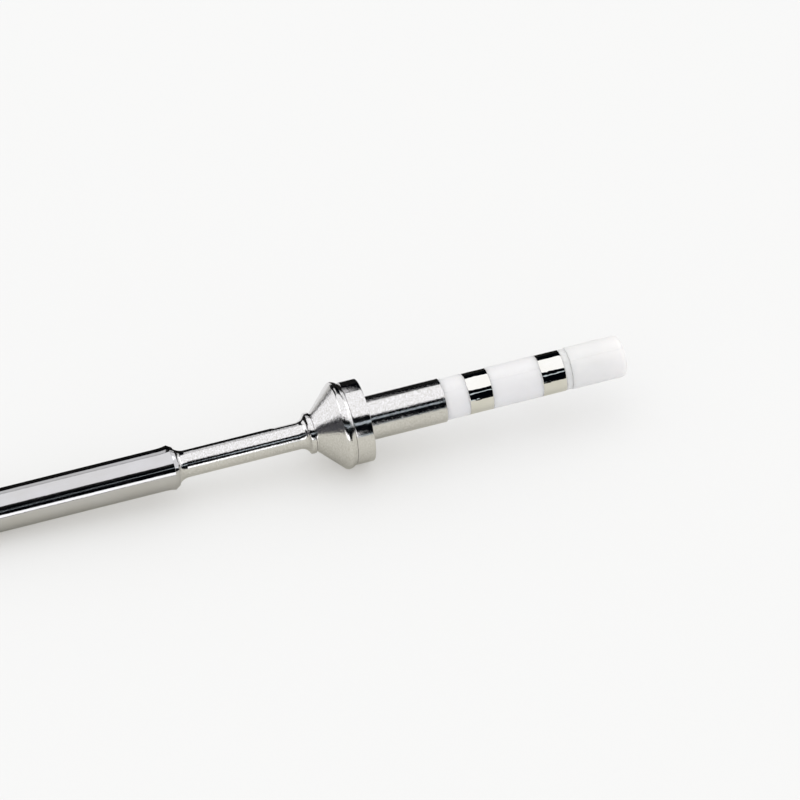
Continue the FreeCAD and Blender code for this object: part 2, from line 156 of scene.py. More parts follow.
class BitSizes(PropertyGroup):
    """Sizes of the plated bit"""

    barrel_radius: FloatProperty(**length("Barrel", "Outside radius of the barrel", 2.65))
    nose_length: FloatProperty(**length("Nose length", "Cone in front of the barrel", 15.6))
    nose_radius: FloatProperty(**length("Nose end", "Radius of the cone's small end", 0.5))
    nose_round: FloatProperty(**length("Nose rounding", "Rounding of the point", 0.4))
    tinned_length: FloatProperty(**length("Tinned length", "Dull tinned part of the nose", 4.5))
    shoulder_blend: FloatProperty(**length("Shoulder", "Blend of nose and barrel", 1.2))
    rim_flare: FloatProperty(**length("Rim flare", "Hollow curve up to the rear rim", 1.2))
    rim_bevel: FloatProperty(**length("Rim bevel", "Bevel behind the rear rim", 0.6))
    rim_drop: FloatProperty(**length("Rim drop", "How far that bevel falls", 0.35))
    face_recess: FloatProperty(**length("Face recess", "Fine recess round the neck", 0.1))
    bore_radius: FloatProperty(**length("Bore", "Radius of the heater's hole", 1.78))
    solid_front: FloatProperty(**length("Solid front", "Barrel in front of the hole", 2.0))


class NeckSizes(PropertyGroup):
    """Sizes of the thin neck"""

    radius: FloatProperty(**length("Neck", "Outside radius of the neck", 1.68))
    tail_radius: FloatProperty(**length("Tail", "Radius of the end in the flange", 1.8))
    spigot_length: FloatProperty(**length("Spigot length", "End inside the barrel", 3.0))
    spigot_radius: FloatProperty(**length("Spigot", "Radius of that end", 2.3))
    front_flare: FloatProperty(**length("Front flare", "Hollow curve to the barrel", 1.33))
    rear_flare: FloatProperty(**length("Rear flare", "Hollow curve to the rear rim", 1.27))
    rim_width: FloatProperty(**length("Rim width", "Bead at the foot of the cone", 0.68))
    rim_round: FloatProperty(**length("Rim rounding", "Rounding of that bead", 0.24))


class FlangeSizes(PropertyGroup):
    """Sizes of the cone flange and the stop collar"""

    waist_start: FloatProperty(**length("Waist start", "Bead over the flange's end", 0.34))
    waist_radius: FloatProperty(**length("Waist", "Radius in front of the cone", 2.42))
    waist_length: FloatProperty(**length("Waist length", "Straight part of the waist", 0.12))
    cone_length: FloatProperty(**length("Cone length", "Length of the cone", 3.1))
    crest_land: FloatProperty(**length("Crest band", "Straight band on the crest", 0.5))
    crest_round: FloatProperty(**length("Crest rounding", "Rounding of the crest", 0.24))
    back_radius: FloatProperty(**length("Groove", "Radius beside the collar", 5.12))
    seat_depth: FloatProperty(**length("Seat depth", "Shank inside the flange", 1.8))
    seat_radius: FloatProperty(**length("Seat", "Radius of the shank in there", 2.55))
    collar_round: FloatProperty(**length("Collar edges", "Rounding of the collar", 0.13))


class PlugSizes(PropertyGroup):
    """Roundings on the shank and on the white and bright rings"""

    shank_edge: FloatProperty(**length("Shank edge", "Rounding of the shank's end", 0.08))
    contact_edge: FloatProperty(**length("Contact edges", "Rounding of the contacts", 0.07))
    insulator_edge: FloatProperty(**length("Insulator edges", "Rounding of white rings", 0.05))
    washer_edge: FloatProperty(**length("Washer edges", "Rounding of the thin ring", 0.1))
    cap_edge: FloatProperty(**length("Cap edge", "Rounding of the cap's open end", 0.08))
    cap_round: FloatProperty(**length("Cap rounding", "Rounding of the closed end", 0.8))
    stem_radius: FloatProperty(**length("Stem", "Outside of the insulator stem", 1.85))
    socket_depth: FloatProperty(**length("Cap socket", "Depth of the hole in the cap", 4.3))


class FinishColours(PropertyGroup):
    """Colours of the finishes"""

    chrome: FloatVectorProperty(**colour("Barrel", "Plated barrel", (0.55, 0.545, 0.56)))
    contact: FloatVectorProperty(**colour("Contacts", "Plated contacts", (0.8, 0.795, 0.775)))
    steel: FloatVectorProperty(**colour("Steel", "Turned steel", (0.73, 0.725, 0.735)))
    white: FloatVectorProperty(**colour("White rings", "Mouldings", (0.73, 0.725, 0.762)))
    washer: FloatVectorProperty(**colour("Thin ring", "Thin moulding", (0.8, 0.795, 0.815)))
    cap: FloatVectorProperty(**colour("Cap", "White end cap", (0.722, 0.72, 0.745)))
    ceramic: FloatVectorProperty(**colour("Ceramic", "Heater ceramic", (0.8, 0.77, 0.71)))
    heater: FloatVectorProperty(**colour("Heater strip", "Resistance strip", (0.33, 0.3, 0.27)))
    wire: FloatVectorProperty(**colour("Leads", "Nickel leads and welds", (0.6, 0.57, 0.52)))
    floor: FloatVectorProperty(**colour("Floor", "Studio floor", (0.44, 0.454, 0.49)))
    # Painted shade: the darker, warmer tone of a card that the metal mirrors in place of the
    # floor in front of the tip.
    warm: FloatVectorProperty(**colour("Warm card", "Card in front", (0.6, 0.592, 0.54)))


class StudioSettings(PropertyGroup):
    """Camera and lights"""

    azimuth: FloatProperty(
        name="Azimuth",
        description="Turn of the camera round the tip",
        default=math.radians(-17.0),
        subtype="ANGLE",
    )
    elevation: FloatProperty(
        name="Elevation",
        description="Height of the camera above the floor",
        default=math.radians(42.8),
        subtype="ANGLE",
    )
    view_width: FloatProperty(**length("View width", "Width that the camera takes in", 98.2))
    lens: FloatProperty(
        name="Lens", description="Focal length", default=600.0, min=1.0, unit="CAMERA"
    )
    softbox: FloatProperty(**brightness("Softbox", "Overhead light that metal mirrors", 1.22))
    key: FloatProperty(**brightness("Key", "Overhead light on matt surfaces", 0.35))
    card: FloatProperty(**brightness("Front card", "Low light that the barrel mirrors", 1.8))
    panel: FloatProperty(**brightness("Side panel", "Panel that the cone mirrors", 1.2))
    strip: FloatProperty(**brightness("Strip", "Narrow light in front of the tip", 0.75))
    fill: FloatProperty(**brightness("Fill", "Light from the room on matt surfaces", 1.24))
    room: FloatProperty(**brightness("Room", "Dark room that metal mirrors", 0.0025))
    background: FloatProperty(**brightness("Background", "Room that the camera sees", 0.955))
    glow: FloatProperty(**brightness("Floor glow", "Light from the floor itself", 0.36))


class TipSettings(PropertyGroup):
    """Everything that the operators read"""

    steps: IntProperty(
        name="Steps", description="Steps in a full turn", default=160, min=12, max=512
    )
    bit: PointerProperty(type=BitSizes)
    neck: PointerProperty(type=NeckSizes)
    flange: PointerProperty(type=FlangeSizes)
    plug: PointerProperty(type=PlugSizes)
    finish: PointerProperty(type=FinishColours)
    studio: PointerProperty(type=StudioSettings)


def turn_at(before, corner, after):
    """Angle by which an outline turns at a corner."""
    way_in = Vector(corner[:2]) - Vector(before[:2])
    way_out = Vector(after[:2]) - Vector(corner[:2])
    return way_in.angle(way_out)


def hollow_corner(run, rise):
    """Where the straight lines on both sides of a hollow curve meet, measured along its run.

    The curve leaves a straight line and climbs by rise over run. That distance is also its
    rounding.
    """
    radius = (run**2 + rise**2) / (2 * rise)
    return radius * math.tan(math.atan2(rise, run))


def spin_outline(name, outline):
    """A mesh object spun round the tip's axis from (place along the axis, radius, rounding)."""
    bm = bmesh.new()
    verts = [bm.verts.new((x, 0, radius)) for x, radius, _ in outline]
    closed = outline[0][1] > 0
    for a, b in zip(verts, verts[1:] + verts[:1] if closed else verts[1:]):
        bm.edges.new((a, b))
    for i, (corner, vert) in enumerate(zip(outline, verts)):
        if corner[2] > 0:
            turn = turn_at(outline[i - 1], corner, outline[(i + 1) % len(outline)])
            bmesh.ops.bevel(
                bm,
                geom=[vert],
                offset=corner[2],
                offset_type="OFFSET",
                segments=max(2, round(turn / TURN_FOR_ONE_SEGMENT)),
                profile=0.5,
                affect="VERTICES",
                material=-1,
            )
    bmesh.ops.spin(
        bm,
        geom=bm.verts[:] + bm.edges[:],
        cent=(0, 0, 0),
        axis=(1, 0, 0),
        angle=math.tau,
        steps=bpy.context.scene.iron_tip.steps,
        use_merge=True,
    )
    bmesh.ops.remove_doubles(bm, verts=bm.verts[:], dist=MERGE_DISTANCE)
    bmesh.ops.recalc_face_normals(bm, faces=bm.faces[:])
    for face in bm.faces:
        face.smooth = True
    for edge in bm.edges:
        edge.smooth = edge.calc_face_angle(0) < SHARP_FROM
    bm.transform(AXIS)
    mesh = bpy.data.meshes.new(name)
    bm.to_mesh(mesh)
    bm.free()
    piece = bpy.data.objects.new(name, mesh)
    bpy.context.scene.collection.objects.link(piece)
    even = piece.modifiers.new("Even shading", "WEIGHTED_NORMAL")
    even.keep_sharp = True
    return piece


def add_turned(name, node, material, outline):
    """Spins a piece that stands for a packed node, and gives it its body and finish."""
    piece = spin_outline(name, outline)
    piece.data.materials.append(material)
    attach(piece, "root")
    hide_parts(node)


def ring_outline(node, edge):
    """Outline of a plain ring in the place of a packed node, with its outer edges rounded."""
    front, back, bore, radius = measure(node)
    return [
        (front, bore, 0),
        (front, radius, edge),
        (back, radius, edge),
        (back, bore, 0),
    ]


class Finish:
    """One procedural material, whose pattern lies along the tip's own axis, in millimetres."""

    def __init__(self, name, tone, metallic, roughness):
        self.material = bpy.data.materials.new(name)
        self.material.use_nodes = True
        self.material.diffuse_color = (*tone, 1.0)
        self.nodes = self.material.node_tree.nodes
        self.links = self.material.node_tree.links
        self.shader = self.nodes["Principled BSDF"]
        self.tone = tone
        self.set(self.shader, "Base Color", (*tone, 1.0))
        self.set(self.shader, "Metallic", metallic)
        self.set(self.shader, "Roughness", roughness)
        self.bump = None
        coordinates = self.nodes.new("ShaderNodeTexCoord")
        mapping = self.nodes.new("ShaderNodeMapping")
        mapping.vector_type = "TEXTURE"
        self.set(mapping, "Location", AXIS.translation)
        self.set(mapping, "Rotation", AXIS.to_euler())
        self.set(mapping, "Scale", (MM, MM, MM))
        self.links.new(coordinates.outputs["Object"], mapping.inputs["Vector"])
        self.place = mapping.outputs["Vector"]

    @staticmethod
    def set(node, socket, value):
        node.inputs[socket].default_value = value

    def noise(self, along, around, detail=3.0, rough=0.55):
        """Noise with that many features in a millimetre along the axis and across it."""
        mapping = self.nodes.new("ShaderNodeMapping")
        self.set(mapping, "Scale", (along, around, around))
        self.links.new(self.place, mapping.inputs["Vector"])
        noise = self.nodes.new("ShaderNodeTexNoise")
        self.set(noise, "Scale", 1.0)
        self.set(noise, "Detail", detail)
        self.set(noise, "Roughness", rough)
        self.links.new(mapping.outputs["Vector"], noise.inputs["Vector"])
        return noise.outputs["Fac"]

    def along_axis(self, turn=0.0):
        """Places on the tip's own axis, turned round it, as X, Y and Z."""
        mapping = self.nodes.new("ShaderNodeMapping")
        self.set(mapping, "Rotation", (turn, 0, 0))
        self.links.new(self.place, mapping.inputs["Vector"])
        apart = self.nodes.new("ShaderNodeSeparateXYZ")
        self.links.new(mapping.outputs["Vector"], apart.inputs["Vector"])
        return apart.outputs

    def line_along_axis(self, turn, width):
        """A narrow line on both sides of the axis: 1 on the line, 0 beside it."""
        away = self.nodes.new("ShaderNodeMath")
        away.operation = "ABSOLUTE"
        self.links.new(self.along_axis(turn)["Z"], away.inputs[0])
        return self.between(away.outputs["Value"], 1.0, 0.0, width / 2, width)

    def between(self, source, low, high, start=0.3, stop=0.7):
        """Maps a pattern to a range of numbers."""
        spread = self.nodes.new("ShaderNodeMapRange")
        self.set(spread, "From Min", start)
        self.set(spread, "From Max", stop)
        self.set(spread, "To Min", low)
        self.set(spread, "To Max", high)
        self.links.new(source, spread.inputs["Value"])
        return spread.outputs["Result"]

    def vary_roughness(self, source, low, high):
        """Roughness that goes from low to high along a pattern."""
        self.links.new(self.between(source, low, high), self.shader.inputs["Roughness"])

    def dull_towards(self, start, stop, roughness):
        """Makes the finish dull at start and leaves it as it is past stop, on the tip's axis."""
        along = self.along_axis()["X"]
        dull = self.between(along, roughness, 0.0, start / MM, stop / MM)
        rougher = self.nodes.new("ShaderNodeMath")
        rougher.operation = "MAXIMUM"
        socket = self.shader.inputs["Roughness"]
        self.links.new(socket.links[0].from_socket, rougher.inputs[0])
        self.links.new(dull, rougher.inputs[1])
        self.links.new(rougher.outputs["Value"], socket)

    def vary_colour(self, source, dark, light):
        """Colour that goes from dark times the tone to light times the tone."""
        ramp = self.nodes.new("ShaderNodeValToRGB")
        stops = ramp.color_ramp.elements
        for stop, position, factors in zip(stops, (0.32, 0.68), (dark, light)):
            stop.position = position
            stop.color = (*[part * factor for part, factor in zip(self.tone, factors)], 1.0)
        self.links.new(source, ramp.inputs["Fac"])
        self.links.new(ramp.outputs["Color"], self.shader.inputs["Base Color"])

    def raise_by(self, source, height):
        """Adds a relief of that height, in metres, on top of the earlier ones."""
        bump = self.nodes.new("ShaderNodeBump")
        self.set(bump, "Strength", 1.0)
        self.set(bump, "Distance", height)
        self.links.new(source, bump.inputs["Height"])
        if self.bump:
            self.links.new(self.bump, bump.inputs["Normal"])
        self.bump = bump.outputs["Normal"]
        self.links.new(self.bump, self.shader.inputs["Normal"])


def plating(name, tone, roughness, wave):
    """Bright plating: faint waves, a haze of fine rubbing marks and a few smudges."""
    finish = Finish(name, tone, 1.0, roughness)
    smudges = finish.noise(0.5, 0.8, detail=4.0, rough=0.6)
    finish.vary_roughness(smudges, roughness * 0.7, roughness * 1.5)
    finish.vary_colour(finish.noise(0.25, 0.5), (0.97, 0.965, 0.95), (1.02, 1.02, 1.03))
    finish.raise_by(finish.noise(0.7, 1.1, detail=2.0), wave)
    finish.raise_by(finish.noise(22.0, 1.5, detail=2.0), 0.08e-6)
    return finish


def turned_steel(name, tone, roughness, marks, grain, wander):
    """Satin steel with the fine rings that a lathe leaves, broken up by two sizes of grain."""
    finish = Finish(name, tone, 1.0, roughness)
    rings = finish.noise(7.0, 0.35, detail=4.0, rough=0.65)
    finish.vary_roughness(rings, roughness * 0.7, roughness * 1.5)
    specks = finish.noise(8.0, 5.0, detail=4.0, rough=0.65)
    finish.vary_colour(specks, (0.78, 0.765, 0.73), (1.1, 1.1, 1.12))
    finish.raise_by(rings, marks)
    finish.raise_by(finish.noise(9.0, 5.0, detail=3.0), grain)
    finish.raise_by(finish.noise(4.5, 2.5, detail=3.0), wander)
    return finish.material


def white_moulding(name, tone, roughness):
    """White plastic: soft gloss, a little light through it, and a faint clouding."""
    finish = Finish(name, tone, 0.0, roughness)
    finish.set(finish.shader, "Specular IOR Level", 0.3)
    finish.set(finish.shader, "Subsurface Weight", 0.8)
    finish.set(finish.shader, "Subsurface Radius", (1.0, 0.95, 0.9))
    finish.set(finish.shader, "Subsurface Scale", 2.0 * MM)
    finish.vary_roughness(finish.noise(1.2, 1.2, detail=4.0), roughness * 0.85, roughness * 1.2)
    finish.vary_colour(finish.noise(0.4, 0.5), (0.985, 0.985, 0.985), (1.01, 1.01, 1.01))
    finish.raise_by(finish.noise(6.0, 6.0, detail=3.0), 0.5e-6)
    finish.raise_by(finish.line_along_axis(PARTING_TURN, PARTING_WIDTH), PARTING_HEIGHT)
    return finish.material


def rough_ceramic(name, tone):
    """Unglazed ceramic with fine speckles."""
    finish = Finish(name, tone, 0.0, 0.7)
    finish.vary_colour(finish.noise(9.0, 9.0, detail=5.0), (0.93, 0.92, 0.9), (1.05, 1.05, 1.05))
    finish.raise_by(finish.noise(14.0, 14.0, detail=4.0), 3e-6)
    return finish.material


def drawn_wire(name, tone, roughness, marks):
    """Drawn metal with lines along its length and patches of tarnish."""
    finish = Finish(name, tone, 1.0, roughness)
    lines = finish.noise(1.0, 18.0, detail=3.0)
    finish.vary_roughness(lines, roughness * 0.8, roughness * 1.25)
    finish.vary_colour(finish.noise(1.5, 2.5, detail=4.0), (0.8, 0.76, 0.74), (1.08, 1.07, 1.05))
    finish.raise_by(lines, marks)
    return finish.material


class IRONTIP_OT_add_bit(Operator):
    """Turn the plated bit, with its barrel, its flared rear rim and its heater bore"""

    bl_idname = "irontip.add_bit"
    bl_label = "Add Bit"

    def execute(self, context):
        tip = context.scene.iron_tip
        bit = tip.bit
        front, _, _, rim_radius = measure("soldering_bit")
        spigot_front = measure("neck_sleeve")[0]
        back = spigot_front + tip.neck.spigot_length
        barrel_front = front + bit.nose_length
        rim = back - bit.rim_bevel
        rise = rim_radius - bit.barrel_radius
        rim_corner = hollow_corner(bit.rim_flare, rise)
        spigot = tip.neck.spigot_radius
        recess = back - bit.face_recess
        bore_front = barrel_front + bit.solid_front
        outline = [
            (front, 0, 0),
            (front, bit.nose_radius, bit.nose_round),
            (barrel_front, bit.barrel_radius, bit.shoulder_blend),
            (rim - bit.rim_flare + rim_corner, bit.barrel_radius, rim_corner * FLARE_SHARE),
            (rim, rim_radius, RIM_ROUND),
            (back, rim_radius - bit.rim_drop, TURNED_EDGE),
            (back, spigot + RECESS_MOUTH, RECESS_EDGE),
            (recess, spigot + RECESS_FLOOR, 0),
            (recess, spigot, 0),
            (spigot_front, spigot, 0),
            (spigot_front, bit.bore_radius, 0),
            (bore_front, bit.bore_radius, 0),
            (bore_front - bit.bore_radius / 2, 0, 0),
        ]
        chrome = plating("barrel_plating", tip.finish.chrome, roughness=0.07, wave=6e-6)
        tin_end = front + bit.tinned_length
        bright_from = front + bit.tinned_length * TIN_FADE
        chrome.dull_towards(tin_end, bright_from, TIN_ROUGHNESS)
        add_turned("polished_bit", "soldering_bit", chrome.material, outline)
        return {"FINISHED"}


class IRONTIP_OT_add_neck(Operator):
    """Turn the thin neck, with its hollow flares and its rounded rim"""

    bl_idname = "irontip.add_neck"
    bl_label = "Add Neck"

    def execute(self, context):
        tip = context.scene.iron_tip
        neck = tip.neck
        front, back, bore, rim_radius = measure("neck_sleeve")
        barrel_back = front + neck.spigot_length
        rim_back = measure("cone_flange")[0] + tip.flange.waist_start
        rim_front = rim_back - neck.rim_width
        front_corner = hollow_corner(neck.front_flare, neck.spigot_radius - neck.radius)
        rear_corner = hollow_corner(neck.rear_flare, rim_radius - neck.radius)
        neck_front = barrel_back + neck.front_flare - front_corner
        neck_back = rim_front - neck.rear_flare + rear_corner
        outline = [
            (front, bore, 0),
            (front, neck.spigot_radius, SPIGOT_EDGE),
            (barrel_back, neck.spigot_radius, 0),
            (neck_front, neck.radius, front_corner * FLARE_SHARE),
            (neck_back, neck.radius, rear_corner * REAR_FLARE_SHARE),
            (rim_front, rim_radius, neck.rim_round),
            (rim_back, rim_radius, neck.rim_round),
            (rim_back, neck.tail_radius, 0),
            (back, neck.tail_radius, 0),
            (back, bore, 0),
        ]
        steel = turned_steel(
            "neck_steel",
            tip.finish.steel,
            roughness=0.09,
            marks=0.6e-6,
            grain=3e-6,
            wander=9e-6,
        )
        add_turned("satin_neck", "neck_sleeve", steel, outline)
        return {"FINISHED"}


class IRONTIP_OT_add_flange(Operator):
    """Turn the cone flange with its rounded crest, and the stop collar behind it"""

    bl_idname = "irontip.add_flange"
    bl_label = "Add Flange and Collar"

    def execute(self, context):
        tip = context.scene.iron_tip
        flange = tip.flange
        end, collar_front, bore, crest_radius = measure("cone_flange")
        front = end + flange.waist_start
        cone_front = front + flange.waist_length
        crest_front = cone_front + flange.cone_length
        seat_front = collar_front - flange.seat_depth
        outline = [
            (front, bore, 0),
            (front, flange.waist_radius, 0),
            (cone_front, flange.waist_radius, WAIST_ROUND),
            (crest_front, crest_radius, flange.crest_round),
            (crest_front + flange.crest_land, crest_radius, flange.crest_round),
            (collar_front, flange.back_radius, TURNED_EDGE),
            (collar_front, flange.seat_radius, 0),
            (seat_front, flange.seat_radius, 0),
            (seat_front, bore, 0),
        ]
        steel = turned_steel(
            "cone_steel",
            tip.finish.steel,
            roughness=0.1,
            marks=1.2e-6,
            grain=5e-6,
            wander=13e-6,
        )
        add_turned("turned_cone", "cone_flange", steel, outline)
        front, back, bore, radius = measure("stop_collar")
        shank_radius = measure("shank_tube")[3]
        outline = [
            (front, bore, 0),
            (front, radius, flange.collar_round),
            (back, radius, flange.collar_round),
            (back, shank_radius, 0),
            (back - (shank_radius - bore), bore, 0),
        ]
        steel = turned_steel(
            "collar_steel",
            tip.finish.steel,
            roughness=0.08,
            marks=1.2e-6,
            grain=4e-6,
            wander=7e-6,
        )
        add_turned("turned_collar", "stop_collar", steel, outline)
        return {"FINISHED"}


class IRONTIP_OT_add_shank(Operator):
    """Turn the ground shank tube, with its thinner end inside the collar"""

    bl_idname = "irontip.add_shank"
    bl_label = "Add Shank"

    def execute(self, context):
        tip = context.scene.iron_tip
        front, back, bore, radius = measure("shank_tube")
        seat = tip.flange.seat_radius
        outline = [
            (front, bore, 0),
            (front, seat, 0),
            (seat - radius, seat, 0),
            (0, radius, 0),
            (back, radius, tip.plug.shank_edge),
            (back, bore, 0),
        ]
        steel = turned_steel(
            "shank_steel",
            tip.finish.steel,
            roughness=0.09,
            marks=1.2e-6,
            grain=6e-6,
            wander=15e-6,
        )
        add_turned("ground_shank", "shank_tube", steel, outline)
        return {"FINISHED"}


class IRONTIP_OT_add_insulators(Operator):
    """Mould the white rings: one on each side of the front contact and the thin one"""

    bl_idname = "irontip.add_insulators"
    bl_label = "Add Insulators"

    def execute(self, context):
        tip = context.scene.iron_tip
        plug = tip.plug
        white = white_moulding("insulator_white", tip.finish.white, roughness=0.32)
        pale = white_moulding("washer_white", tip.finish.washer, roughness=0.32)
        pieces = [
            ("white_ring_front", "front_insulator", plug.insulator_edge, white),
            ("white_ring_middle", "middle_insulator", plug.insulator_edge, white),
            ("white_ring_thin", "rear_washer", plug.washer_edge, pale),
        ]
        for name, node, edge, material in pieces:
            add_turned(name, node, material, ring_outline(node, edge))
        return {"FINISHED"}


class IRONTIP_OT_add_contacts(Operator):
    """Turn the two bright contact rings"""

    bl_idname = "irontip.add_contacts"
    bl_label = "Add Contacts"

    def execute(self, context):
        tip = context.scene.iron_tip
        edge = tip.plug.contact_edge
        bright = plating("contact_plating", tip.finish.contact, roughness=0.04, wave=25e-6)
        for name, node in (
            ("bright_ring_front", "front_contact_ring"),
            ("bright_ring_rear", "rear_contact_ring"),
        ):
            outline = ring_outline(node, edge)
            add_turned(name, node, bright.material, outline)
        return {"FINISHED"}


class IRONTIP_OT_add_end_cap(Operator):
    """Mould the white end cap, closed and rounded behind"""

    bl_idname = "irontip.add_end_cap"
    bl_label = "Add End Cap"

    def execute(self, context):
        tip = context.scene.iron_tip
        plug = tip.plug
        front, back, _, radius = measure("end_cap")
        socket_end = front + plug.socket_depth
        outline = [
            (back, 0, 0),
            (back, radius, plug.cap_round),
            (front, radius, plug.cap_edge),
            (front, plug.stem_radius, 0),
            (socket_end, plug.stem_radius, 0),
            (socket_end, 0, 0),
        ]
        white = white_moulding("cap_white", tip.finish.cap, roughness=0.42)
        add_turned("rounded_cap", "end_cap", white, outline)
        return {"FINISHED"}


class IRONTIP_OT_finish_inside(Operator):
    """Give the packed pieces inside the tip their finishes"""

    bl_idname = "irontip.finish_inside"
    bl_label = "Finish Inner Pieces"

    def execute(self, context):
        colours = context.scene.iron_tip.finish
        ceramic = rough_ceramic("heater_ceramic", colours.ceramic)
        wire = drawn_wire("lead_metal", colours.wire, roughness=0.3, marks=1.5e-6)
        strip = drawn_wire("heater_metal", colours.heater, roughness=0.42, marks=2.5e-6)
        stem = white_moulding("stem_white", colours.white, roughness=0.36)
        finishes = {
            "insulator_stem": stem,
            "heater_sleeve": ceramic,
            "heater_core": ceramic,
            "heater_end_plug": ceramic,
            "lead_insulator": ceramic,
            "heater_coil": strip,
            "coil_weld": strip,
            "thermocouple_bead": wire,
            "centre_lead": wire,
            "side_lead": wire,
            "rear_ring_weld": wire,
            "front_ring_weld": wire,
        }
        for node, material in finishes.items():
            mesh = frame["nodes"][node].data
            mesh.materials.clear()
            mesh.materials.append(material)
        return {"FINISHED"}


def add_floor(tone, glow):
    """Pale floor under the tip, which gives off a little warm light."""
    bm = bmesh.new()
    bmesh.ops.create_circle(bm, cap_ends=True, radius=FLOOR_RADIUS, segments=96)
    mesh = bpy.data.meshes.new("studio_floor")
    bm.to_mesh(mesh)
    bm.free()
    floor = bpy.data.objects.new("studio_floor", mesh)
    bpy.context.scene.collection.objects.link(floor)
    finish = Finish("floor_paper", tone, 0.0, 0.9)
    finish.set(finish.shader, "Specular IOR Level", 0.1)
    finish.set(finish.shader, "Emission Color", (1.0, 0.965, 0.89, 1.0))
    finish.set(finish.shader, "Emission Strength", glow)
    finish.vary_colour(finish.noise(0.02, 0.02), (0.998, 0.998, 0.997), (1.002, 1.002, 1.002))
    mesh.materials.append(finish.material)


class Softlight(NamedTuple):
    """An area light, which gets a share of the brightness that its setting gives."""

    name: str
    place: tuple
    aim: tuple
    width: float
    length: float
    setting: str
    share: float = 1.0
    rays: str = "GLOSSY"
    tone: tuple = WHITE


STRIP_ANGLE = math.radians(36.5)
STRIP_AWAY = 1.3
STRIP_PLACE = (0, -STRIP_AWAY * math.cos(STRIP_ANGLE), STRIP_AWAY * math.sin(STRIP_ANGLE))

# Each has its place, what it faces, its width and length, its setting and what differs.
SOFTLIGHTS = (
    Softlight("overhead_softbox", (0, 0.134, 1.0), (0, 0.134, 0), 1.617, 4.0, "softbox"),
    Softlight(
        "back_light", (0.0105, 0.1575, 0.1), (0.0105, 0.1575, 0), 0.125, 0.051, "softbox", 0.7
    ),
    Softlight("overhead_key", (0, 0.4, 1.6), (0, 0, 0), 1.6, 1.6, "key", rays="DIFFUSE"),
    Softlight("front_strip", STRIP_PLACE, (0, 0, 0), 0.12, 8.0, "strip", tone=(0.84, 0.94, 1.0)),
    Softlight("side_panel", (-1.5, 1.35, 0.65), (0, 1.35, 0.65), 1.1, 2.5, "panel"),
    Softlight("right_panel", (1.5, 0.675, 0.525), (0, 0.675, 0.525), 0.75, 2.25, "panel", 0.9),
    Softlight("front_card", (-0.288, -0.08, 0.017), (-0.288, 0, 0.017), 0.0195, 0.624, "card"),
)

# Name, tone, low corner and high corner of each card that only mirrored light shows.
CARDS = (
    ("low_flag", BLACK, (-0.3, 0.0075, 0), (0.009, 0.0075, 0.0075)),
    ("cone_flag", (0.06, 0.06, 0.07), (-0.06, -0.035, 0), (-0.06, -0.004, 0.024)),
    ("barrel_flag", BLACK, (-0.1, -0.0327, 0.047), (0.006, -0.0327, 0.064)),
    ("strip_flag", BLACK, (-0.1, -0.0327, 0.0262), (0.006, -0.0327, 0.0296)),
    ("shank_card", (0.5, 0.57, 0.61), (0.06, -0.3, 0.005), (0.0845, -0.3, 0.031)),
    ("ring_flag", BLACK, (0.0405, -0.048, 0.0028), (0.058, -0.048, 0.0086)),
    ("back_flag", BLACK, (0.0175, 0.024, 0), (0.3, 0.024, 0.016)),
    ("far_flag", BLACK, (-3, 0.03, 0.0002), (0, 3, 0.0002)),
    ("back_card", (0.47, 0.47, 0.47), (-0.12, 0.03, 0.0003), (0, 0.13, 0.0003)),
)
# Low and high corner of a darker, warmer card just over the floor in front of the tip, seen only
# in mirrors: painted shade, so the metal mirrors a dimmer floor than the camera sees.
MIRRORED_SHADE_CARD = ((-0.6, -0.4, 0.0003), (0.4, 0.006, 0.0003))


def add_softlight(light, level):
    """Area light that looks as bright as level, for mirrored or for matt surfaces."""
    data = bpy.data.lights.new(light.name, "AREA")
    data.shape = "RECTANGLE"
    data.size = light.length
    data.size_y = light.width
    data.energy = level * math.pi * light.length * light.width
    data.color = light.tone
    lamp = bpy.data.objects.new(light.name, data)
    lamp.location = light.place
    lamp.rotation_mode = "QUATERNION"
    towards = Vector(light.aim) - Vector(light.place)
    lamp.rotation_quaternion = towards.to_track_quat("-Z", "Y")
    lamp.visible_camera = False
    lamp.visible_diffuse = light.rays == "DIFFUSE"
    lamp.visible_glossy = light.rays == "GLOSSY"
    bpy.context.scene.collection.objects.link(lamp)


def add_card(name, tone, low, high):
    """Flat card from its low to its high corner."""
    bm = bmesh.new()
    bmesh.ops.create_grid(bm, x_segments=1, y_segments=1, size=0.5)
    mesh = bpy.data.meshes.new(name)
    low, high = Vector(low), Vector(high)
    size = high - low
    if size.z > 0:
        turn = Matrix.Rotation(math.pi / 2, 3, "Y" if size.x == 0 else "X")
        bmesh.ops.rotate(bm, verts=bm.verts, cent=(0, 0, 0), matrix=turn)
    bmesh.ops.scale(bm, verts=bm.verts, vec=size)
    bmesh.ops.translate(bm, verts=bm.verts, vec=(low + high) / 2)
    bm.to_mesh(mesh)
    bm.free()
    card = bpy.data.objects.new(name, mesh)
    bpy.context.scene.collection.objects.link(card)
    card.visible_camera = False
    card.visible_diffuse = False
    card.visible_shadow = False
    mesh.materials.append(Finish(name, tone, 0.0, 1.0).material)


